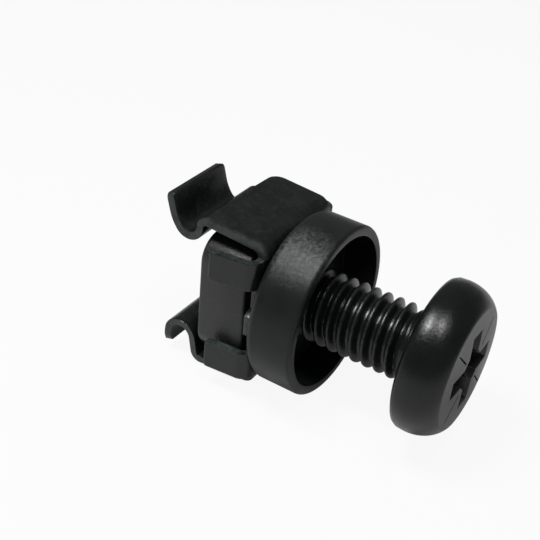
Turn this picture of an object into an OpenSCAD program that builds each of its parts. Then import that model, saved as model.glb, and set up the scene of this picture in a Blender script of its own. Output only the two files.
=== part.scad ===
// Rack cage nut with its pan head screw and cup washer, M6.
// Units are millimetres. X runs along the screw from the rail toward the head, Y across the rack, Z up.
// The origin is on the screw's axis, in the middle of the groove of the wings that takes the rail's edge.

/* [Cage sheet] */
// Thickness of the spring steel sheet
sheet = 0.6; // [0.4:0.05:0.9]
// Inside radius of the folds of plates and tabs
fold_r = 0.5; // [0.3:0.05:1]
// Width of the two side plates, across the rail
plate_w = 9.4; // [8.6:0.1:10.4]
// Outside height of the cage over its two side plates, at the base plate
box_h = 12.8; // [11.8:0.1:14.5]
// Outside width of the cage over its tabs, at the base plate
box_w = 11.9; // [11.3:0.1:13.5]
// Depth of the cage, from the base plate's outer face to the ends of the side plates
body_len = 5.6; // [5.4:0.1:7]
// How far the side plates splay outward, in degrees
plate_splay = 5; // [0:0.5:8]
// Corner radius of the side plates
plate_corner = 1; // [0.3:0.1:1.6]
// Clearance hole in the base plate
base_hole = 7.6; // [7.2:0.1:8.4]

/* [Tabs] */
// Length of the tabs, from the base plate's outer face
tab_len = 3.5; // [2.6:0.1:5]
// Height of each tab
tab_h = 2.45; // [1.6:0.05:2.8]
// Gap between the two tabs of one side
tab_gap = 6.2; // [5.4:0.1:6.8]
// How far the tabs splay outward, in degrees
tab_splay = 5; // [0:0.5:8]
// Height of the tongue of the base plate between two tabs
tongue_h = 1.7; // [1:0.1:3]
// Depth of the relief cuts beside the tabs
relief = 0.75; // [0.3:0.05:1.1]

/* [Wings] */
// Width of the wings
wing_w = 6.7; // [5:0.1:8.6]
// Radius of the fillet where a wing leaves its side plate
root_r = 0.45; // [0.2:0.05:0.8]
// Inside radius of the neck, where the wing turns in
neck_r = 0.35; // [0.2:0.05:0.8]
// How far the neck turns in, in degrees
neck_turn = 80; // [65:1:90]
// Straight length of the neck of the upper wing
neck_top = 0.55; // [0.2:0.05:1.2]
// Straight length of the neck of the lower wing
neck_low = 0.95; // [0.2:0.05:1.4]
// Inside radius of the groove that takes the rail's edge
groove_r = 0.72; // [0.5:0.02:1.1]
// How far the groove turns, in degrees
groove_turn = 142; // [130:1:170]
// How far the lips curve inward, in degrees
lip_turn = 24; // [6:1:40]
// Straight end of the lip of the upper wing
lip_top = 1.2; // [0.3:0.1:3]
// Straight end of the lip of the lower wing
lip_low = 0.4; // [0.3:0.1:3]
// Radius of the lips' slow inward curve
lip_r = 3; // [2:0.5:12]
// Corner radius of the lips
lip_corner = 0.45; // [0.2:0.05:0.9]

/* [Nut] */
// Across the flats of the square nut
nut_w = 10.3; // [9.6:0.1:11]
// Thickness of the nut
nut_t = 4.2; // [3.4:0.1:5]
// Corner radius of the nut
nut_corner = 2; // [0.6:0.1:3]
// Play between the nut's face and the base plate
nut_play = 0.55; // [0.2:0.05:0.7]
// Width of the countersink at both ends of the thread
nut_lead = 0.25; // [0.1:0.05:0.5]

/* [Washer] */
// Outer diameter of the cup washer
cup_d = 14; // [13.4:0.1:18]
// Height of the cup
cup_h = 4; // [2.4:0.1:5]
// Wall of the cup
cup_wall = 0.8; // [0.5:0.05:1]
// Thickness of the cup's floor
cup_floor = 1; // [0.6:0.05:1.6]
// Clearance hole in the floor
cup_hole = 6.5; // [6.3:0.1:7.2]
// Rounding of the cup's outer bottom edge
cup_round = 0.7; // [0.2:0.05:1]
// Rounding of the cup's rim
rim_round = 0.3; // [0.1:0.05:0.38]
// Gap between the washer and the base plate
seat_gap = 0.1; // [0.05:0.05:0.3]

/* [Screw] */
// Thread's outer diameter
thread_d = 5.9; // [5.8:0.02:6]
// Thread's core diameter
core_d = 4.72; // [4.6:0.02:4.9]
// Pitch of the thread
pitch = 1; // [0.75:0.25:1]
// Length of the shank, under the head
shank_len = 16; // [12:1:25]
// Length of the plain neck under the head
plain_len = 1.2; // [0.4:0.1:2.5]
// Chamfer at the tip
tip_chamfer = 0.7; // [0.3:0.05:1]
// Radial clearance between the two threads
thread_clear = 0.15; // [0.12:0.01:0.2]
// How far the head stands off the base plate
head_stand = 11.6; // [5.2:0.1:12.5]
// Diameter of the pan head
head_d = 12; // [11:0.1:12.2]
// Height of the head
head_h = 3.6; // [3:0.1:4.2]
// Diameter of the head's flat top
head_flat = 7.6; // [6.5:0.1:9]
// Height of the straight band at the head's edge
head_band = 0.7; // [0.3:0.1:1.2]
// Width over the cross recess
cross_w = 5.6; // [4.6:0.1:6.4]
// Width of one slot of the cross recess
cross_slot = 1.15; // [0.9:0.05:1.5]
// Depth of the cross recess
cross_depth = 2.3; // [1.8:0.1:2.6]

/* [Hidden] */
$fa = 4;
$fs = 0.15;
eps = 0.02;
facets = 24;  // facets of one turn of thread

half_w = plate_w / 2;
plate_z = box_h / 2;
fold_out = fold_r + sheet;
plate_turn = 90 - plate_splay;
tab_turn = 90 - tab_splay;
tab_y = box_w / 2 - fold_out;
// straight part of a side plate, so that its end lies body_len behind the base plate
plate_run = (body_len - fold_out * sin(plate_turn)) / cos(plate_splay);
tab_run = (tab_len - fold_out * sin(tab_turn)) / cos(tab_splay);

far = wing_w - half_w;  // the wings start at one edge of their side plates and end here

// A folded strip is a list of steps: ["run", length], or ["fold", degrees, inside radius], upward if positive.
function plate_steps(neck, lip) = [["fold", plate_turn, fold_r], ["run", plate_run], ["run", root_r],
    ["fold", neck_turn, neck_r], ["run", neck], ["fold", -groove_turn, groove_r], ["fold", -lip_turn, lip_r],
    ["run", lip]];
tab_steps = [["fold", tab_turn, fold_r], ["run", tab_run]];

// Part t of the way through a step that starts at w, as [along, up, heading], on the sheet's lower face
function onward(s, w, t) = s[0] == "run" ? [w[0] + t * s[1] * cos(w[2]), w[1] + t * s[1] * sin(w[2]), w[2]]
    : let (r = sign(s[1]) * (s[2] + (s[1] > 0 ? sheet : 0)), a = w[2] + t * s[1])
        [w[0] + r * (sin(a) - sin(w[2])), w[1] - r * (cos(a) - cos(w[2])), a];
function start_of(steps, n) = n == 0 ? [0, 0, 0] : onward(steps[n - 1], start_of(steps, n - 1), 1);
function parts_of(s) = s[0] == "run" ? 1 : ceil(abs(s[1]) / 6);
function path(steps, n) = [for (i = [0:n - 1], k = [0:parts_of(steps[i]) - (i < n - 1 ? 1 : 0)])
    onward(steps[i], start_of(steps, i), k / parts_of(steps[i]))];

// The origin: middle of the groove of the upper wing, along the screw
steps_top = plate_steps(neck_top, lip_top);
steps_low = plate_steps(neck_low, lip_low);
groove_in = start_of(steps_top, 5);
base_x = groove_in[1] - groove_r * cos(groove_in[2]);

nut_back = -sheet - nut_play - nut_t;
floor_x = seat_gap + cup_floor;
tip_x = head_stand - shank_len;
flank = (thread_d - core_d) / 2 * tan(30);
crest = pitch / 8;

module square_at(x0, y0, x1, y1) { translate([x0, y0]) square([x1 - x0, y1 - y0]); }

// A corner to cut away, rounded with radius r, its sharp point at the origin and the material toward -x, -y
module round_off(r) {
    difference() {
        translate([-r, -r]) square(r + eps);
        translate([-r, -r]) circle(r);
    }
}

// The first n steps of a strip, between y0 and y1
module strip(steps, n, y0, y1) {
    p = path(steps, n);
    translate([0, y1, 0]) rotate([90, 0, 0]) linear_extrude(y1 - y0) polygon(concat([for (q = p) [q[0], q[1]]],
        [for (i = [len(p) - 1:-1:0]) [p[i][0] - sheet * sin(p[i][2]), p[i][1] + sheet * cos(p[i][2])]]));
}

// Cutter through the sheet where step n starts
module cut_at(steps, n) {
    w = start_of(steps, n);
    translate([w[0], 0, w[1]]) rotate([0, -w[2], 0]) translate([0, 0, -sheet]) linear_extrude(3 * sheet) children();
}

// Side plate with its wing
module side_plate(steps) {
    all = len(steps);
    difference() {
        strip(steps, all, -half_w, far);
        cut_at(steps, all) translate([0, far]) round_off(lip_corner);
        cut_at(steps, all) translate([0, -half_w]) mirror([0, 1]) round_off(lip_corner);
    }
    difference() {
        strip(steps, 3, far, far + root_r);
        cut_at(steps, 3) translate([0, far + root_r]) circle(root_r);
    }
    difference() {
        strip(steps, 2, far + root_r, half_w);
        cut_at(steps, 2) translate([0, half_w]) round_off(plate_corner);
    }
}

// Sets a strip on the edge of the base plate, its outer face at reach from the axis
module on_base(reach) {
    translate([0, 0, reach - fold_out]) rotate([0, -90, 0]) children();
}

// Base plate, outline in Y and Z
module base_outline() {
    plate_end = plate_z - fold_out;
    difference() {
        union() {
            square_at(-half_w, -plate_end, half_w, plate_end);
            for (s = [0, 1]) mirror([0, s])
                square_at(-tab_y, tab_gap / 2, tab_y, tab_gap / 2 + tab_h);
            square_at(-tab_y, -tab_gap / 2, tab_y, tab_gap / 2);
            square_at(-box_w / 2, -tongue_h / 2, box_w / 2, tongue_h / 2);
        }
        circle(d = base_hole);
        for (sy = [0, 1], sz = [0, 1]) mirror([sy, 0]) mirror([0, sz])
            square_at(box_w / 2 - relief, tongue_h / 2, box_w / 2 + 1, tab_gap / 2);
    }
}

module cage() {
    color([0.11, 0.12, 0.12]) {
        rotate([90, 0, 90]) translate([0, 0, -sheet]) linear_extrude(sheet) base_outline();
        on_base(plate_z) side_plate(steps_top);
        mirror([0, 0, 1]) on_base(plate_z) side_plate(steps_low);
        for (sy = [0, 1], sz = [0, 1]) mirror([0, sy, 0]) mirror([0, 0, sz]) rotate([90, 0, 0])
            on_base(box_w / 2) strip(tab_steps, 2, tab_gap / 2, tab_gap / 2 + tab_h);
    }
}

// Closed helical thread along +Z, all round steps of the pitch from turn0 to turn1, grown by clear
module thread(turn0, turn1, clear = 0) {
    r0 = core_d / 2 + clear;
    r1 = thread_d / 2 + clear;
    n = (turn1 - turn0) * facets;
    profile = [[r0, 0], [r1, flank], [r1, flank + crest], [r0, 2 * flank + crest]];
    points = concat([for (i = [0:n], q = profile)
        [q[0] * cos(360 * i / facets), q[0] * sin(360 * i / facets), pitch * (turn0 + i / facets) + q[1]]],
        [[0, 0, pitch * (turn0 + 0.5)], [0, 0, pitch * (turn1 + 0.5)]]);
    low = 4 * (n + 1);
    high = low + 1;
    faces = concat(
        [for (i = [0:n - 1], j = [0:2]) each [[4 * i + j, 4 * i + 4 + j, 4 * i + 5 + j],
            [4 * i + j, 4 * i + 5 + j, 4 * i + 1 + j]]],
        [for (i = [0:n - facets - 1], a = 4 * i + 3, b = 4 * (i + facets)) each [[a, a + 4, b + 4], [a, b + 4, b]]],
        [for (i = [0:facets - 1]) [low, 4 * i + 4, 4 * i]],
        [for (j = [0:2]) [low, j, j + 1]], [[low, 3, 4 * facets]],
        [for (i = [n - facets:n - 1]) [high, 4 * i + 3, 4 * i + 7]],
        [for (j = [0:2]) [high, 4 * n + j + 1, 4 * n + j]], [[high, 4 * n, 4 * (n - facets) + 3]]);
    polyhedron(points, [for (f = faces) [f[0], f[2], f[1]]]);
}

module nut() {
    turn0 = floor((nut_back - tip_x) / pitch) - 2;
    turn1 = ceil((nut_back + nut_t - tip_x) / pitch) + 2;
    color([0.30, 0.31, 0.30]) difference() {
        rotate([90, 0, 90]) translate([0, 0, nut_back]) linear_extrude(nut_t) difference() {
            square(nut_w, center = true);
            for (a = [0:90:270]) rotate(a) translate([nut_w / 2, nut_w / 2]) round_off(nut_corner);
        }
        translate([tip_x, 0, 0]) rotate([0, 90, 0]) thread(turn0, turn1, thread_clear);
        // countersinks
        for (end = [0, 1]) translate([nut_back + end * nut_t, 0, 0]) rotate([0, end ? -90 : 90, 0])
            translate([0, 0, -eps]) cylinder(r1 = thread_d / 2 + nut_lead + eps, r2 = core_d / 2, h = thread_d / 2
                + nut_lead - core_d / 2 + eps);
    }
}

module washer() {
    color([0.16, 0.17, 0.17]) translate([seat_gap, 0, 0]) rotate([0, 90, 0]) rotate_extrude() difference() {
        union() {
            square_at(cup_hole / 2, 0, cup_d / 2, cup_floor);
            square_at(cup_d / 2 - cup_wall, 0, cup_d / 2, cup_h);
        }
        translate([cup_d / 2, 0]) mirror([0, 1]) round_off(cup_round);
        translate([cup_d / 2, cup_h]) round_off(rim_round);
    }
}

module screw() {
    neck_x = shank_len - plain_len;
    turns = round(neck_x / pitch);
    edge = head_h - (head_d - head_flat) / 4;
    color([0.13, 0.14, 0.14]) translate([tip_x, 0, 0]) rotate([0, 90, 0]) difference() {
        union() {
            intersection() {
                thread(-1, turns);
                rotate_extrude() polygon([[0, 0], [thread_d / 2 - tip_chamfer, 0], [thread_d / 2 + eps, tip_chamfer],
                    [thread_d / 2 + eps, neck_x + 0.3], [0, neck_x + 0.3]]);
            }
            translate([0, 0, neck_x]) cylinder(d = core_d + 0.5, h = plain_len + eps);
            translate([0, 0, shank_len]) pan_head();
        }
        translate([0, 0, shank_len + head_h]) cross_recess();
    }
}

// Pan head: a straight band, a domed shoulder and a flat top
module pan_head() {
    rise = head_h - head_band;
    run = (head_d - head_flat) / 2;
    ball = (rise * rise + run * run) / (2 * rise);
    rotate_extrude() {
        square_at(0, 0, head_d / 2, head_band);
        square_at(0, 0, head_flat / 2, head_h);
        intersection() {
            square_at(0, head_band - eps, head_d / 2, head_h);
            translate([head_flat / 2 - 0 * run, head_h - ball]) circle(ball);
        }
    }
}

module cross_recess() {
    for (a = [0, 90]) rotate(a) intersection() {
        translate([-cross_w / 2, -cross_slot / 2, -cross_depth]) cube([cross_w, cross_slot, cross_depth + 1]);
        translate([0, 0, -cross_depth]) cylinder(d1 = cross_slot * 1.4, d2 = cross_w * 1.02, h = cross_depth + eps);
    }
    translate([0, 0, -cross_depth]) cylinder(d1 = cross_slot * 1.1, d2 = cross_slot * 2.3, h = cross_depth + eps);
}

translate([base_x, 0, 0]) {
    cage();
    nut();
    washer();
    screw();
}
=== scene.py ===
"""Looks of a rack cage nut with its pan head screw and cup washer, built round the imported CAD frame."""

import math

import bmesh
import bpy
from bpy.props import FloatProperty, FloatVectorProperty, PointerProperty
from mathutils import Matrix, Vector


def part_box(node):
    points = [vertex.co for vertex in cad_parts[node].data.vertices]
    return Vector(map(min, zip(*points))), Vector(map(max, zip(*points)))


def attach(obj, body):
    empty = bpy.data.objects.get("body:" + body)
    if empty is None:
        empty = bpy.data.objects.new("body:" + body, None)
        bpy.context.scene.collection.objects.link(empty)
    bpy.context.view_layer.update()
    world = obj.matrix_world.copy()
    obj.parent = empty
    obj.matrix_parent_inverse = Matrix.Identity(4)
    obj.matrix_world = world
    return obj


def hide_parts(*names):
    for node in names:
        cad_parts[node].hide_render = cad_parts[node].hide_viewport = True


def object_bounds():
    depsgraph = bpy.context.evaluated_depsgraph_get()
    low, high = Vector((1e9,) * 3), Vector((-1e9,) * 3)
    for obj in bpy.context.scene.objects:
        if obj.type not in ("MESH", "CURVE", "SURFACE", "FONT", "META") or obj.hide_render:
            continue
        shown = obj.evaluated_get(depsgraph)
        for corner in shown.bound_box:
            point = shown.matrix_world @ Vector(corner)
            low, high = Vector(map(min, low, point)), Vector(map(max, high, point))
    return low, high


bl_info = {
    "name": "Rack Cage Nut",
    "version": (1, 0, 0),
    "blender": (4, 5, 0),
    "location": "3D View > Sidebar > Cage Nut",
    "description": "Finishes a cage nut, its screw and its cup washer",
    "category": "Object",
}

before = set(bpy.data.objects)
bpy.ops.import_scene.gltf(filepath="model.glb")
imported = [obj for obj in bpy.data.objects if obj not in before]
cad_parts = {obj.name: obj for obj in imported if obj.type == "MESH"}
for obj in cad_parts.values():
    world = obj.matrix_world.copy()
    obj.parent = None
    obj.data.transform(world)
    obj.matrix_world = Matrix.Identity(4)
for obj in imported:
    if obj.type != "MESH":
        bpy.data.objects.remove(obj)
MM = 0.001


def ends(node):
    """Where a node starts and stops along the screw, in millimetres."""
    low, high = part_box(node)
    return low.x / MM, high.x / MM


BASE_FACE = ends("cage")[1]  # outer face of the cage's base plate
SCREW_TIP, HEAD_FACE = ends("screw")
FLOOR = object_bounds()[0].z

# Sizes in millimetres that the pieces share
FOLD = 0.5  # inside radius of the folds of plates and tabs
BASE_HOLE = 7.6  # clearance hole in the base plate
TONGUE = 0.85  # half the height of a tongue between two tabs
RELIEF = 0.75  # depth of the relief cuts beside the tabs
SHOULDER = 0.12  # how far a side plate reaches past the start of its wing's neck
WING_START = 0.32  # how far before the plate's end the neck starts
TIP_CHAMFER = 0.7
THREAD_CLEAR = 0.15  # radial clearance between the two threads
RECESS_DEPTH = 2.3
OVER = 0.15  # how far a cutter stands over the face that it cuts

# The camera: focal length, its turn round the object and above it, its lean, and its place in its own axes
LENS = 66.64
AROUND, ABOVE, LEAN = 29.753, 33.749, 5.721
ASIDE, BELOW, DISTANCE = 1.732, 1.737, 78.263

# Each side plate: which way it lies, its splay, and the bends of its wing as (kind, amount, inside radius)
WINGS = (
    (1, 4.2, (("fold", 88, 0.25), ("run", 0.31, 0), ("fold", -134, 0.76), ("fold", -24, 3.0), ("run", 1.4, 0))),
    (-1, 5.0, (("fold", 84, 0.3), ("run", 1.25, 0), ("fold", -160, 0.9), ("fold", -20, 3.0), ("run", 0.15, 0))),
)
TAB_SPLAYS = ((1, 8.0), (-1, 5.0))


# Settings ---------------------------------------------------------------------------------------


def length(name, description, default, low, high):
    """A size given in millimetres."""
    return FloatProperty(
        name=name, description=description, default=default * MM, min=low * MM, max=high * MM,
        precision=5, subtype="DISTANCE", unit="LENGTH")


def colour(name, description, default):
    return FloatVectorProperty(
        name=name, description=description, default=default, min=0, max=1, size=3, subtype="COLOR")


def share(name, description, default):
    return FloatProperty(name=name, description=description, default=default, min=0, max=1, subtype="FACTOR")


class CageSettings(bpy.types.PropertyGroup):
    sheet: length("Sheet", "Thickness of the spring steel sheet", 0.6, 0.4, 0.9)
    edge: length("Edge", "Radius of the rounded edges of the sheet", 0.07, 0.02, 0.15)
    plate: length("Plate width", "Width of the two side plates", 9.4, 8.6, 10.4)
    height: length("Height", "Height of the cage over its side plates", 12.8, 11.8, 14.5)
    width: length("Width", "Width of the cage over its tabs", 11.9, 11.3, 13.5)
    depth: length("Depth", "Depth of the cage without its wings", 5.6, 5.4, 7)
    wing: length("Wing width", "Width of the two sprung wings", 6.7, 5, 8.6)
    tab: length("Tab height", "Height of each tab", 2.45, 1.6, 2.8)
    tab_gap: length("Tab gap", "Gap between the two tabs of one side", 5.8, 5.4, 6.8)
    tab_length: length("Tab length", "Length of the tabs from the base plate's face", 3.9, 2.6, 5)
    tint: colour("Colour", "Colour of the blackened spring steel", (0.0065, 0.0085, 0.0075))
    gloss: share("Roughness", "Roughness of the blackened sheet", 0.26)


class NutSettings(bpy.types.PropertyGroup):
    across: length("Across", "Width of the nut across its flats", 10.3, 9.6, 11)
    corner: length("Corner", "Radius of the nut's corners", 2, 0.6, 3)
    edge: length("Edge", "Radius of the rounded edges of the nut", 0.3, 0.05, 0.4)
    tint: colour("Colour", "Colour of the nut", (0.017, 0.0195, 0.0175))
    gloss: share("Roughness", "Roughness of the nut", 0.36)


class WasherSettings(bpy.types.PropertyGroup):
    tint: colour("Colour", "Colour of the washer's plastic", (0.0105, 0.013, 0.012))
    gloss: share("Roughness", "Roughness of the washer's plastic", 0.34)


class ScrewSettings(bpy.types.PropertyGroup):
    thread: length("Thread", "Outer diameter of the thread", 5.9, 5.8, 6)
    core: length("Core", "Diameter of the thread's core", 4.72, 4.6, 4.9)
    pitch: length("Pitch", "Pitch of the thread", 1, 0.75, 1.25)
    head: length("Head", "Diameter of the pan head", 12, 11, 12.2)
    head_height: length("Head height", "Height of the pan head", 3.6, 3, 4.2)
    flat: length("Flat", "Diameter of the head's face", 9.6, 6.5, 10.4)
    neck: length("Neck", "Length of the plain neck under the head", 1.2, 0.4, 2.5)
    tint: colour("Colour", "Colour of the screw's black finish", (0.0055, 0.0068, 0.0062))
    gloss: share("Roughness", "Roughness of the screw's finish", 0.24)


class StageSettings(bpy.types.PropertyGroup):
    floor: colour("Floor", "Colour of the floor", (0.6, 0.6, 0.6))
    key: FloatProperty(name="Key light", description="Power of the large lamp above", default=0.15, min=0)
    fill: FloatProperty(name="Fill light", description="Power of the lamp beside the head", default=0.07, min=0)


# Shader maths -----------------------------------------------------------------------------------


class Wire:
    """A node's output that adds Math nodes when it is used in an expression."""

    def __init__(self, tree, socket):
        self.tree, self.socket = tree, socket

    def other(self, name):
        """Another output of the same node."""
        return Wire(self.tree, self.socket.node.outputs[name])

    def math(self, kind, *values):
        return self.tree.node("ShaderNodeMath", {"operation": kind}, *values)

    def __add__(self, other):
        return self.math("ADD", self, other)

    def __radd__(self, other):
        return self.math("ADD", other, self)

    def __sub__(self, other):
        return self.math("SUBTRACT", self, other)

    def __rsub__(self, other):
        return self.math("SUBTRACT", other, self)

    def __mul__(self, other):
        return self.math("MULTIPLY", self, other)

    def __rmul__(self, other):
        return self.math("MULTIPLY", other, self)

    def __pow__(self, other):
        return self.math("POWER", self, other)


class Tree:
    """A node tree under construction."""

    def __init__(self, tree):
        self.tree = tree

    def node(self, kind, settings=None, *values, out=0, sockets=None, **named):
        """Any node: its settings come first, then its sockets in order, by number or by name."""
        made = self.tree.nodes.new(kind)
        for key, value in (settings or {}).items():
            setattr(made, key, value)
        named = {name.replace("_", " "): value for name, value in named.items()}
        for key, value in [*enumerate(values), *(sockets or {}).items(), *named.items()]:
            self.feed(made.inputs[key], value)
        return Wire(self, made.outputs[out]) if made.outputs else None

    def feed(self, socket, value):
        if isinstance(value, Wire):
            self.tree.links.new(value.socket, socket)
        else:
            socket.default_value = value


class Finish(Tree):
    """A material under construction, with one Principled shader."""

    def __init__(self, name, **constants):
        self.material = bpy.data.materials.new(name)
        self.material.use_nodes = True
        super().__init__(self.material.node_tree)
        self.shader = next(n for n in self.tree.nodes if n.type == "BSDF_PRINCIPLED")
        for socket, value in constants.items():
            self.shader.inputs[socket.replace("_", " ")].default_value = value

    def place(self):
        return self.node("ShaderNodeTexCoord", out="Object")

    def noise(self, grain, detail=3.0, rough=0.55, place=None):
        """Noise whose grain is in millimetres."""
        return self.node("ShaderNodeTexNoise", {"noise_dimensions": "3D"}, out=0, Vector=place or self.place(),
                         Scale=1000 / grain, Detail=detail, Roughness=rough)

    def ramp(self, factor, low, high):
        return self.node("ShaderNodeMapRange", {"clamp": True}, factor, low, high, 0.0, 1.0)

    def blend(self, factor, first, second):
        first, second = (c if isinstance(c, Wire) else (*c, 1) for c in (first, second))
        sockets = {0: factor, 6: first, 7: second}
        return self.node("ShaderNodeMix", {"data_type": "RGBA"}, out=2, sockets=sockets)

    def bump(self, height, depth):
        """Relief of this depth in millimetres."""
        return self.node("ShaderNodeBump", None, out="Normal", Strength=1.0, Distance=depth * MM, Height=height)

    def set(self, **sockets):
        for name, value in sockets.items():
            self.feed(self.shader.inputs[name.replace("_", " ")], value)
        return self.material


def lighter(tint, times):
    return tuple(min(1, c * times) for c in tint)


def sheet_finish(settings):
    """Blackened spring steel: semi-gloss, with faint clouds, smudges, a fine tooth and painted highlights along
    its convex edges.
    """
    f = Finish("blackened_sheet", Metallic=0.0, Specular_IOR_Level=0.5)
    tint = tuple(settings.tint)
    clouds = f.ramp(f.noise(1.6, 4), 0.35, 0.7)
    smudge = f.ramp(f.noise(0.5, 5, 0.7), 0.5, 0.72)
    tooth = f.noise(0.09, 2)
    # Painted highlight: convex edges, found by Pointiness and broken up by noise, are blended towards a much
    # lighter colour
    edges = f.ramp(f.node("ShaderNodeNewGeometry", out="Pointiness"), 0.54, 0.62)
    painted_edge_highlight = edges * f.ramp(f.noise(0.6, 4), 0.3, 0.6)
    body = f.blend(smudge * 0.6, f.blend(clouds, lighter(tint, 0.75), lighter(tint, 1.35)), lighter(tint, 2.4))
    return f.set(
        Base_Color=f.blend(painted_edge_highlight * 0.8, body, lighter(tint, 12)),
        Roughness=settings.gloss + 0.1 * clouds + 0.16 * smudge - 0.07,
        Normal=f.bump(tooth + 0.8 * f.noise(0.8, 2), 0.0025))


def nut_finish(settings):
    """Lighter speckled steel."""
    f = Finish("speckled_nut_steel", Metallic=0.0, Specular_IOR_Level=0.5)
    tint = tuple(settings.tint)
    speckle = f.ramp(f.noise(0.16, 3, 0.65), 0.4, 0.68)
    clouds = f.ramp(f.noise(1.9, 3), 0.35, 0.7)
    return f.set(
        Base_Color=f.blend(speckle * 0.8, f.blend(clouds, lighter(tint, 0.7), lighter(tint, 1.25)),
                           lighter(tint, 1.9)),
        Roughness=settings.gloss + 0.16 * speckle - 0.05,
        Normal=f.bump(speckle + 0.5 * f.noise(0.5, 2), 0.008))


def washer_finish(settings):
    """Satin black plastic with a fine grain and a scuffed, sparkling patch on the upper side of the cup."""
    f = Finish("satin_plastic", Specular_IOR_Level=0.3)
    tint = tuple(settings.tint)
    place = f.place()
    patch = f.node("ShaderNodeVectorMath", {"operation": "DISTANCE"}, place,
                   ((BASE_FACE + 2.1) * MM, -3.2 * MM, 6.0 * MM), out="Value")
    near = 1 - f.ramp(patch + 0.0012 * f.noise(1.0, 4), 0.0016, 0.0036)
    sparkle = f.ramp(f.noise(0.3, 5, 0.7), 0.42, 0.72) * near
    grain = f.noise(0.12, 2)
    clouds = f.ramp(f.noise(2.4, 3), 0.35, 0.7)
    return f.set(
        Base_Color=f.blend(sparkle * 0.9, f.blend(clouds, lighter(tint, 0.85), lighter(tint, 1.2)),
                           (0.11, 0.115, 0.113)),
        Roughness=settings.gloss + 0.08 * clouds + 0.1 * near,
        Normal=f.bump(grain + 1.4 * sparkle, 0.005))


def screw_finish(settings):
    """Black finish, a little lighter in patches along the crests of the thread, and speckled on the head's
    face.
    """
    f = Finish("black_screw_finish", Metallic=0.0, Specular_IOR_Level=0.4)
    tint = tuple(settings.tint)
    x = f.node("ShaderNodeSeparateXYZ", None, f.place())
    y, z = x.other("Y"), x.other("Z")
    radius = (y * y + z * z) ** 0.5
    shank = 1 - f.ramp(x, (HEAD_FACE - 4.2) * MM, (HEAD_FACE - 3.7) * MM)
    # The thread's crests below the head are blended in noisy patches towards a lighter colour
    light_crests = f.ramp(radius, 2.72 * MM, 2.94 * MM) * shank * f.ramp(f.noise(0.35, 4, 0.7), 0.3, 0.6)
    face = f.ramp(x, (HEAD_FACE - 0.22) * MM, (HEAD_FACE - 0.02) * MM)
    speckle = f.ramp(f.noise(0.12, 3, 0.7), 0.45, 0.7)
    body = f.blend(f.ramp(f.noise(1.4, 4), 0.35, 0.7), lighter(tint, 0.8), lighter(tint, 1.3))
    faced = f.blend(face, body, f.blend(speckle, lighter(tint, 1.8), lighter(tint, 3.2)))
    return f.set(
        Base_Color=f.blend(light_crests, faced, lighter(tint, 3.5)),
        Roughness=settings.gloss + 0.16 * face + 0.08 * speckle - 0.04,
        Normal=f.bump(speckle + 0.5 * f.noise(0.6, 2), 0.005))


def floor_finish(settings):
    """Pale floor that reads as white to the eye and to what mirrors it, and keeps a soft shadow."""
    f = Finish("pale_floor", Roughness=0.9, Specular_IOR_Level=0.0)
    f.set(Base_Color=(*settings.floor, 1))
    camera = f.node("ShaderNodeLightPath", out="Is Camera Ray")
    seen = camera + 0.2 * camera.other("Is Glossy Ray")
    white = f.node("ShaderNodeEmission", Strength=1.0)
    mix = f.node("ShaderNodeMixShader", None, seen * 0.92, Wire(f, f.shader.outputs[0]), white)
    out = next(n for n in f.tree.nodes if n.type == "OUTPUT_MATERIAL")
    f.feed(out.inputs[0], mix)
    return f.material


# Shapes -----------------------------------------------------------------------------------------


def soften(piece, width, angle):
    """Rounds a CAD node's sharp edges with modifiers, which leave its own mesh as it is."""
    weld = piece.modifiers.new("Weld", "WELD")
    weld.merge_threshold = 2e-6
    bevel = piece.modifiers.new("Edges", "BEVEL")
    bevel.limit_method, bevel.angle_limit = "ANGLE", math.radians(angle)
    bevel.width, bevel.segments, bevel.use_clamp_overlap = width, 2, True
    normals = piece.modifiers.new("Normals", "WEIGHTED_NORMAL")
    normals.keep_sharp, normals.weight = False, 80


def finish_node(name, material):
    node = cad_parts[name]
    node.data.materials.clear()
    node.data.materials.append(material)
    for face in node.data.polygons:
        face.use_smooth = True
    return node


def new_piece(name, mesh, body, node, material):
    piece = bpy.data.objects.new(name, mesh)
    bpy.context.scene.collection.objects.link(piece)
    mesh.materials.append(material)
    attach(piece, body)
    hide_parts(node)
    return piece


def shade(piece, angle):
    """Smooth shading, with edges sharper than angle kept sharp."""
    piece.data.shade_smooth()
    piece.data.set_sharp_from_angle(angle=math.radians(angle))


def revolve(bm, profile, steps):
    """Closed body of revolution about X from (along, radius) points, its ends on the axis."""
    rings = []
    for along, radius in profile:
        if radius < 1e-6:
            rings.append([bm.verts.new((along * MM, 0, 0))])
            continue
        rings.append([bm.verts.new((along * MM, radius * MM * math.sin(a), -radius * MM * math.cos(a)))
                      for a in (2 * math.pi * k / steps for k in range(steps))])
    for low, high in zip(rings, rings[1:]):
        for k in range(steps):
            n = (k + 1) % steps
            corners = [low[k % len(low)], low[n % len(low)], high[n % len(high)], high[k % len(high)]]
            bm.faces.new(list(dict.fromkeys(corners)))
    bmesh.ops.recalc_face_normals(bm, faces=bm.faces)


def walk(steps, sheet):
    """Stations along a folded strip: (distance, along, up, heading) on the sheet's outer face."""
    at, found = (0.0, 0.0, 0.0, 0.0), []
    for kind, amount, inside in steps:
        radius = inside + (sheet if amount > 0 else 0)
        span = amount if kind == "run" else abs(math.radians(amount)) * radius
        parts = math.ceil(amount / 0.22) if kind == "run" else math.ceil(abs(amount) / 7)
        for k in range(parts + 1):
            t, (far, along, up, heading) = k / parts, at
            if kind == "run":
                here = (far + t * span, along + t * amount * math.cos(heading),
                        up + t * amount * math.sin(heading), heading)
            else:
                turned, sign = heading + t * math.radians(amount), math.copysign(radius, amount)
                here = (far + t * span, along + sign * (math.sin(turned) - math.sin(heading)),
                        up - sign * (math.cos(turned) - math.cos(heading)), turned)
            if k or not found:
                found.append(here)
        at = found[-1]
    return found


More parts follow.
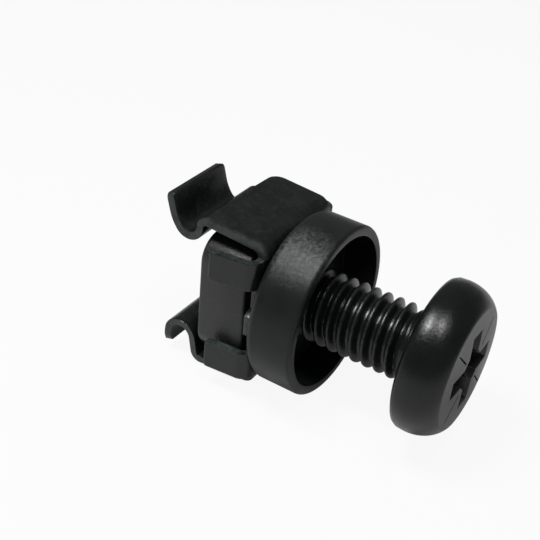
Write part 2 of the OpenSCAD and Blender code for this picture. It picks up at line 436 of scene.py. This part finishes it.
def strip(bm, steps, sheet, edge, reach, sides, place, corner=0.4):
    """Solid folded strip with rounded edges. sides(distance) gives its two edges across, place(p) seats
    a point."""
    stations = walk(steps, sheet)
    total = stations[-1][0]
    rings, across = [], 14

    def ring(far, along, up, heading, inset):
        near, wide = sides(far)
        left = total - far
        if left < corner:
            drop = corner - math.sqrt(max(0, corner * corner - (corner - left) ** 2))
            near, wide = near + drop, wide - drop
        e = edge - inset
        outline = []
        for k in range(across + 1):
            outline.append((near + inset + e + (wide - near - 2 * (inset + e)) * k / across, inset))
        for a in (30, 60):
            outline.append((wide - inset - e + e * math.sin(math.radians(a)),
                            inset + e - e * math.cos(math.radians(a))))
        for k in range(across, -1, -1):
            outline.append((near + inset + e + (wide - near - 2 * (inset + e)) * k / across, sheet - inset))
        for a in (30, 60):
            outline.append((near + inset + e - e * math.sin(math.radians(a)),
                            sheet - inset - e + e * math.cos(math.radians(a))))
        made = []
        for y, t in outline:
            out = along - t * math.sin(heading), up + t * math.cos(heading)
            made.append(bm.verts.new(place(Vector((BASE_FACE - out[1], y, reach + out[0]))) * MM))
        return made

    for n, (far, along, up, heading) in enumerate(stations[:-1]):
        if n and total - far < edge:
            continue
        rings.append(ring(far, along, up, heading, 0))
    far, along, up, heading = stations[-1]
    for back, inset in ((edge, 0.0), (0.5 * edge, 0.14 * edge), (0.13 * edge, 0.5 * edge), (0.0, 0.9 * edge)):
        ahead, rise = math.cos(heading), math.sin(heading)
        rings.append(ring(far - back, along - back * ahead, up - back * rise, heading, inset))
    for low, high in zip(rings, rings[1:]):
        for k in range(len(low)):
            n = (k + 1) % len(low)
            bm.faces.new((low[k], low[n], high[n], high[k]))
    bm.faces.new(rings[0])
    bm.faces.new(rings[-1])


def flat_plate(outlines, thick, edge):
    """Mesh of a flat plate with rounded edges, its outline in Y and Z, holes allowed, its front at x = 0."""
    curve = bpy.data.curves.new("plate", "CURVE")
    curve.dimensions, curve.fill_mode = "2D", "BOTH"
    curve.extrude, curve.bevel_depth, curve.offset, curve.bevel_resolution = thick / 2 - edge, edge, -edge, 2
    for outline in outlines:
        spline = curve.splines.new("POLY")
        spline.points.add(len(outline) - 1)
        for point, (y, z) in zip(spline.points, outline):
            point.co = (y, z, 0, 1)
        spline.use_cyclic_u = True
    holder = bpy.data.objects.new("plate", curve)
    bpy.context.scene.collection.objects.link(holder)
    bpy.context.view_layer.update()
    mesh = bpy.data.meshes.new_from_object(holder.evaluated_get(bpy.context.evaluated_depsgraph_get()))
    bpy.data.objects.remove(holder)
    mesh.transform(Matrix(((0, 0, 1, BASE_FACE - thick / 2), (1, 0, 0, 0), (0, 1, 0, 0), (0, 0, 0, 1))))
    mesh.transform(Matrix.Scale(MM, 4))
    return mesh


def cage_mesh(settings):
    """The folded cage: base plate with tongues, two side plates with sprung wings, and four tabs."""
    sheet, edge = settings.sheet / MM, settings.edge / MM
    half, tall, wide = settings.plate / MM / 2, settings.height / MM / 2, settings.width / MM / 2
    wing = settings.wing / MM - half
    fold = FOLD + sheet
    bm = bmesh.new()
    for upright, splay, wing_steps in WINGS:
        turn = math.radians(90 - splay)
        depth = settings.depth / MM - WING_START
        plate = (depth - fold * math.sin(turn)) / math.cos(math.radians(splay))
        shoulder = turn * fold + plate + SHOULDER

        def sides(far, shoulder=shoulder):
            if far > shoulder:
                return -half, wing
            left = min(1, shoulder - far)  # a corner of 1 mm radius
            return -half, half - (1 - math.sqrt(1 - (1 - left) ** 2))

        steps = (("fold", 90 - splay, FOLD), ("run", plate, 0), *wing_steps)
        strip(bm, steps, sheet, edge, tall - fold, sides,
              (lambda p: p) if upright > 0 else (lambda p: Vector((p.x, p.y, -p.z))))
    gap, tab = settings.tab_gap / MM / 2, settings.tab / MM
    for side in (-1, 1):
        for upright, splay in TAB_SPLAYS:
            lean = math.radians(splay)
            run = (settings.tab_length / MM - fold * math.cos(lean)) / math.cos(lean)
            strip(bm, (("fold", 90 - splay, FOLD), ("run", run, 0)), sheet, edge, wide - fold,
                  lambda far: (gap, gap + tab),
                  lambda p, side=side, upright=upright: Vector((p.x, side * p.z, upright * p.y)), 0.25)
    bmesh.ops.recalc_face_normals(bm, faces=bm.faces)
    end, root, step, tongue = tall - fold, wide - fold, wide - RELIEF, TONGUE
    quarter = [(0, end), (half, end), (half, gap + tab), (root, gap + tab), (root, gap), (step, gap),
               (step, tongue + 0.35), (wide, tongue), (wide, 0)]
    right = quarter + [(y, -z) for y, z in reversed(quarter[:-1])]
    outline = right + [(-y, z) for y, z in reversed(right[1:-1])]
    turns = [2 * math.pi * k / 60 for k in range(60)]
    hole = [(BASE_HOLE / 2 * math.cos(a), BASE_HOLE / 2 * math.sin(a)) for a in turns]
    bm.from_mesh(flat_plate([outline, hole], sheet, edge * 0.8))
    return to_mesh(bm, "cage")


def thread_mesh(settings):
    """Shank with a rounded thread in step with the nut's, a chamfered tip and a plain neck."""
    outer, core = settings.thread / MM / 2, settings.core / MM / 2
    pitch, neck = settings.pitch / MM, settings.neck / MM
    under = HEAD_FACE - settings.head_height / MM
    flank, crest = (outer - core) * math.tan(math.radians(30)), pitch / 8
    around, rows = 72, 22
    bm = bmesh.new()
    stations = [SCREW_TIP + pitch * k / rows for k in range(int((under - SCREW_TIP) / pitch * rows) + 1)]
    stations.append(under + 0.4)
    plain = core + 0.25
    rings = []
    for x in stations:
        ring = []
        for k in range(around):
            turn = k / around
            off = ((x - SCREW_TIP - flank - crest / 2) / pitch - turn) % 1
            away = min(off, 1 - off) * pitch
            rise = min(1, max(0, 1 - (away - crest / 2) / flank))
            rise = 0.45 * rise + 0.55 * rise * rise * (3 - 2 * rise)
            fade = min(1, max(0, (under - neck - x) / (0.7 * pitch) + 0.5))
            radius = core + (outer - core) * rise * fade
            radius = max(radius, plain * (1 - fade) + core * fade)
            radius = min(radius, outer - TIP_CHAMFER + (x - SCREW_TIP))
            a = 2 * math.pi * turn
            ring.append(bm.verts.new((x * MM, radius * MM * math.sin(a), -radius * MM * math.cos(a))))
        rings.append(ring)
    for low, high in zip(rings, rings[1:]):
        for k in range(around):
            n = (k + 1) % around
            bm.faces.new((low[k], low[n], high[n], high[k]))
    bm.faces.new(rings[0])
    bm.faces.new(rings[-1])
    bmesh.ops.recalc_face_normals(bm, faces=bm.faces)
    return bm


def nut_mesh(settings):
    """Square nut as one closed surface: rounded outside, flat faces, countersinks and the thread inside."""
    back, front = ends("nut")
    half, corner, edge = settings.across / MM / 2, settings.corner / MM, settings.edge / MM
    screw = bpy.context.scene.screw_settings
    pitch = screw.pitch / MM
    core, outer = (size / MM / 2 + THREAD_CLEAR for size in (screw.core, screw.thread))
    flank, crest = (outer - core) * math.tan(math.radians(30)), pitch / 8
    outline = []
    for quarter in range(4):
        for k in range(10):
            outline.append((quarter, half, -(half - corner) + 2 * (half - corner) * k / 10, 0.0))
        for k in range(12):
            outline.append((quarter, half - corner, half - corner, 90 * k / 12))
    points = []
    for quarter, y, z, bend in outline:
        b, c = math.radians(bend), math.radians(90 * quarter)
        if y < half:
            y, z = y + corner * math.cos(b), z + corner * math.sin(b)
            normal = (math.cos(b), math.sin(b))
        else:
            normal = (1.0, 0.0)
        points.append([(v * math.cos(c) - w * math.sin(c), v * math.sin(c) + w * math.cos(c))
                       for v, w in ((y, z), normal)])
    bm = bmesh.new()

    def outside(x, inset):
        return [bm.verts.new((x * MM, (y - ny * inset) * MM, (z - nz * inset) * MM))
                for (y, z), (ny, nz) in points]

    def inside(x, radius):
        made = []
        for (y, z), _ in points:
            a = math.atan2(y, -z)
            away = ((x - SCREW_TIP - flank - crest / 2) / pitch - a / (2 * math.pi)) % 1
            away = min(away, 1 - away) * pitch
            deep = core + (outer - core) * min(1, max(0, 1 - (away - crest / 2) / flank))
            deep = max(deep, radius)
            made.append(bm.verts.new((x * MM, deep * math.sin(a) * MM, -deep * math.cos(a) * MM)))
        return made

    lead = outer + 0.1
    rings = []
    for x, way in ((front, -1), (back, 1)):
        arc = [(edge * (1 - math.sin(math.radians(a))), edge * (1 - math.cos(math.radians(a))))
               for a in (0, 22.5, 45, 67.5, 90)]
        turned = [outside(x + way * drop, inset) for drop, inset in arc]
        faces = [outside(x, edge + 0.15)]
        rings += (faces + turned[::-1]) if way < 0 else (turned + faces)
    rows = 90
    bore = []
    for k in range(rows + 1):
        x = back + (front - back) * k / rows
        cone = lead - min(x - back, front - x)
        bore.append(inside(x, cone if cone > core else core))
    rings += bore
    for low, high in zip(rings, rings[1:] + rings[:1]):
        for k in range(len(low)):
            n = (k + 1) % len(low)
            bm.faces.new((low[k], low[n], high[n], high[k]))
    bmesh.ops.recalc_face_normals(bm, faces=bm.faces)
    return to_mesh(bm, "nut")


def head_profile(settings):
    """Pan head: rounded under-edge, bulging side that ends in a crisp edge, and a slightly crowned face."""
    radius, height, flat = settings.head / MM / 2, settings.head_height / MM, settings.flat / MM / 2
    under, crown, widest, lean = HEAD_FACE - height, 0.15, 1.05, math.radians(65)
    points = [(under, 0), (under, radius - 0.5), (under + 0.15, radius - 0.2), (under + 0.45, radius - 0.04)]
    tall = (height - crown - widest) / math.sin(lean)
    deep = (radius - flat) / (1 - math.cos(lean))
    for k in range(15):
        a = lean * k / 14
        points.append((under + widest + tall * math.sin(a), radius - deep * (1 - math.cos(a))))
    for part in (0.985, 0.94, 0.75, 0.5, 0.25, 0):
        points.append((HEAD_FACE - crown * part ** 2, flat * part))
    return points


def box_cut(bm, turn, low, high):
    """One tapered bar of the cross recess: low and high are (half length, half width, along)."""
    spin = Matrix.Rotation(math.radians(turn), 3, "X")
    corners = [[bm.verts.new(spin @ Vector((along * MM, sy * half * MM, sz * wide * MM)))
                for sy, sz in ((-1, -1), (1, -1), (1, 1), (-1, 1))] for half, wide, along in (low, high)]
    for k in range(4):
        n = (k + 1) % 4
        bm.faces.new((corners[0][k], corners[0][n], corners[1][n], corners[1][k]))
    bm.faces.new(corners[0])
    bm.faces.new(corners[1])
    bmesh.ops.recalc_face_normals(bm, faces=bm.faces)


def to_mesh(bm, name):
    mesh = bpy.data.meshes.new(name)
    bm.to_mesh(mesh)
    bm.free()
    return mesh


def carve(mesh, cutters):
    """Cuts closed bodies out of a closed mesh and returns the result."""
    piece = bpy.data.objects.new("carving", mesh)
    bpy.context.scene.collection.objects.link(piece)
    spare = []
    for k, cutter in enumerate(cutters):
        tool = bpy.data.objects.new(f"cutter_{k}", to_mesh(cutter, "cutter"))
        bpy.context.scene.collection.objects.link(tool)
        spare.append(tool)
        cut = piece.modifiers.new("Cut", "BOOLEAN")
        cut.operation, cut.solver, cut.object = "DIFFERENCE", "EXACT", tool
    bevel = piece.modifiers.new("Edges", "BEVEL")
    bevel.limit_method, bevel.angle_limit = "ANGLE", math.radians(40)
    bevel.width, bevel.segments = 0.05 * MM, 2
    bpy.context.view_layer.update()
    done = bpy.data.meshes.new_from_object(piece.evaluated_get(bpy.context.evaluated_depsgraph_get()))
    for o in [piece, *spare]:
        bpy.data.objects.remove(o)
    return done


def screw_mesh(settings):
    head = bmesh.new()
    revolve(head, head_profile(settings), 120)
    cutters = []
    for turn in (0, 90):
        bar = bmesh.new()
        box_cut(bar, turn, (1.5, 0.55, HEAD_FACE - RECESS_DEPTH), (3.4, 0.78, HEAD_FACE + OVER))
        cutters.append(bar)
    centre = bmesh.new()
    revolve(centre, [(HEAD_FACE - RECESS_DEPTH - 0.15, 0), (HEAD_FACE - RECESS_DEPTH, 0.95),
                     (HEAD_FACE + OVER, 1.6), (HEAD_FACE + OVER, 0)], 48)
    cutters.append(centre)
    for turn in (45, 135, 225, 315):
        tick = bmesh.new()
        box_cut(tick, turn, (1.15, 0.05, HEAD_FACE - 0.26), (1.15, 0.08, HEAD_FACE + OVER))
        bmesh.ops.translate(tick, verts=tick.verts,
                            vec=Matrix.Rotation(math.radians(turn), 3, "X") @ Vector((0, 3.15 * MM, 0)))
        cutters.append(tick)
    carved = carve(to_mesh(head, "head"), cutters)
    bm = thread_mesh(settings)
    bm.from_mesh(carved)
    return to_mesh(bm, "screw")


# Operators --------------------------------------------------------------------------------------


class CAGENUT_OT_cage(bpy.types.Operator):
    """Finish the folded spring steel cage"""

    bl_idname = "cagenut.cage"
    bl_label = "Cage"

    def execute(self, context):
        settings = context.scene.cage_settings
        piece = new_piece("folded_cage", cage_mesh(settings), "cage", "cage",
                          sheet_finish(settings))
        shade(piece, 50)
        return {"FINISHED"}


class CAGENUT_OT_nut(bpy.types.Operator):
    """Finish the square nut"""

    bl_idname = "cagenut.nut"
    bl_label = "Nut"

    def execute(self, context):
        settings = context.scene.nut_settings
        piece = new_piece("square_nut", nut_mesh(settings), "nut", "nut", nut_finish(settings))
        shade(piece, 36)
        return {"FINISHED"}


class CAGENUT_OT_washer(bpy.types.Operator):
    """Finish the cup washer"""

    bl_idname = "cagenut.washer"
    bl_label = "Washer"

    def execute(self, context):
        node = finish_node("washer", washer_finish(context.scene.washer_settings))
        soften(node, 0.05 * MM, 60)
        return {"FINISHED"}


class CAGENUT_OT_screw(bpy.types.Operator):
    """Build the pan head screw with its thread and cross recess"""

    bl_idname = "cagenut.screw"
    bl_label = "Screw"

    def execute(self, context):
        settings = context.scene.screw_settings
        piece = new_piece("screw_body", screw_mesh(settings), "screw", "screw",
                          screw_finish(settings))
        shade(piece, 38)
        return {"FINISHED"}


class CAGENUT_OT_stage(bpy.types.Operator):
    """Set the floor, the world, the lamps and the camera"""

    bl_idname = "cagenut.stage"
    bl_label = "Stage"

    def execute(self, context):
        settings = context.scene.stage_settings
        scene = context.scene
        scene.view_settings.view_transform = "Standard"
        mesh = bpy.data.meshes.new("floor")
        reach = 1.5
        mesh.from_pydata([(x * reach, y * reach, FLOOR) for x, y in ((-1, -1), (1, -1), (1, 1), (-1, 1))], [],
                         [(0, 1, 2, 3)])
        floor = bpy.data.objects.new("floor", mesh)
        scene.collection.objects.link(floor)
        mesh.materials.append(floor_finish(settings))
        self.world(scene)
        middle = Vector(((SCREW_TIP + HEAD_FACE) / 2 * MM, 0, 0))
        self.lamp(scene, "key", middle + Vector((-0.045, -0.035, 0.13)), middle, (0.05, 0.035), settings.key)
        self.lamp(scene, "fill", middle + Vector((0.03, -0.03, 0.14)), middle, (0.025, 0.05), settings.fill)
        self.camera(scene)
        return {"FINISHED"}

    def world(self, scene):
        world = bpy.data.worlds.new("studio")
        scene.world = world
        world.use_nodes = True
        studio = Tree(world.node_tree)
        studio.tree.nodes.clear()
        white = (1, 1, 1, 1)
        soft = studio.node("ShaderNodeBackground", None, white, 0.12)
        seen = studio.node("ShaderNodeBackground", None, white, 1.0)
        camera = studio.node("ShaderNodeLightPath", out="Is Camera Ray")
        mix = studio.node("ShaderNodeMixShader", None, camera, soft, seen)
        studio.node("ShaderNodeOutputWorld", None, mix)

    def lamp(self, scene, name, place, target, size, power):
        data = bpy.data.lights.new(name, "AREA")
        data.shape, data.size, data.size_y, data.energy = "RECTANGLE", *size, power
        lamp = bpy.data.objects.new(name, data)
        scene.collection.objects.link(lamp)
        lamp.location = place
        lamp.rotation_euler = (target - place).to_track_quat("-Z", "Y").to_euler()

    def camera(self, scene):
        data = bpy.data.cameras.new("camera")
        data.sensor_width, data.lens = 36, LENS
        data.clip_start, data.clip_end = 0.005, 20
        camera = bpy.data.objects.new("camera", data)
        scene.collection.objects.link(camera)
        around, above, lean = (math.radians(a) for a in (AROUND, ABOVE, LEAN))
        level = math.cos(above)
        ahead = Vector((-math.sin(around) * level, math.cos(around) * level, -math.sin(above)))
        side = Vector((math.cos(around), math.sin(around), 0))
        up = side.cross(ahead)
        right = math.cos(lean) * side + math.sin(lean) * up
        top = math.cos(lean) * up - math.sin(lean) * side
        place = Vector((BASE_FACE, 0, 0)) - ASIDE * right + BELOW * top - DISTANCE * ahead
        turn = Matrix((right, top, -ahead)).transposed().to_4x4()
        camera.matrix_world = Matrix.Translation(place * MM) @ turn
        scene.camera = camera


class CAGENUT_PT_panel(bpy.types.Panel):
    """Lists the pieces and the stage"""

    bl_idname = "CAGENUT_PT_panel"
    bl_label = "Cage Nut"
    bl_space_type = "VIEW_3D"
    bl_region_type = "UI"
    bl_category = "Cage Nut"

    def draw(self, context):
        for group, operator in STEPS:
            box = self.layout.box()
            settings = getattr(context.scene, group)
            for name in settings.__annotations__:
                box.prop(settings, name)
            box.operator(operator)


STEPS = (
    ("cage_settings", "cagenut.cage"),
    ("nut_settings", "cagenut.nut"),
    ("washer_settings", "cagenut.washer"),
    ("screw_settings", "cagenut.screw"),
    ("stage_settings", "cagenut.stage"),
)
GROUPS = (CageSettings, NutSettings, WasherSettings, ScrewSettings, StageSettings)
CLASSES = (*GROUPS, CAGENUT_OT_cage, CAGENUT_OT_nut, CAGENUT_OT_washer, CAGENUT_OT_screw, CAGENUT_OT_stage,
           CAGENUT_PT_panel)


def register():
    for c in CLASSES:
        bpy.utils.register_class(c)
    for (name, _), group in zip(STEPS, GROUPS):
        setattr(bpy.types.Scene, name, PointerProperty(type=group))


def unregister():
    for name, _ in STEPS:
        delattr(bpy.types.Scene, name)
    for c in reversed(CLASSES):
        bpy.utils.unregister_class(c)


def main():
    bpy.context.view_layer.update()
    register()
    for operator in ("cage", "nut", "washer", "screw", "stage"):
        getattr(bpy.ops.cagenut, operator)()


if __name__ == "__main__":
    main()
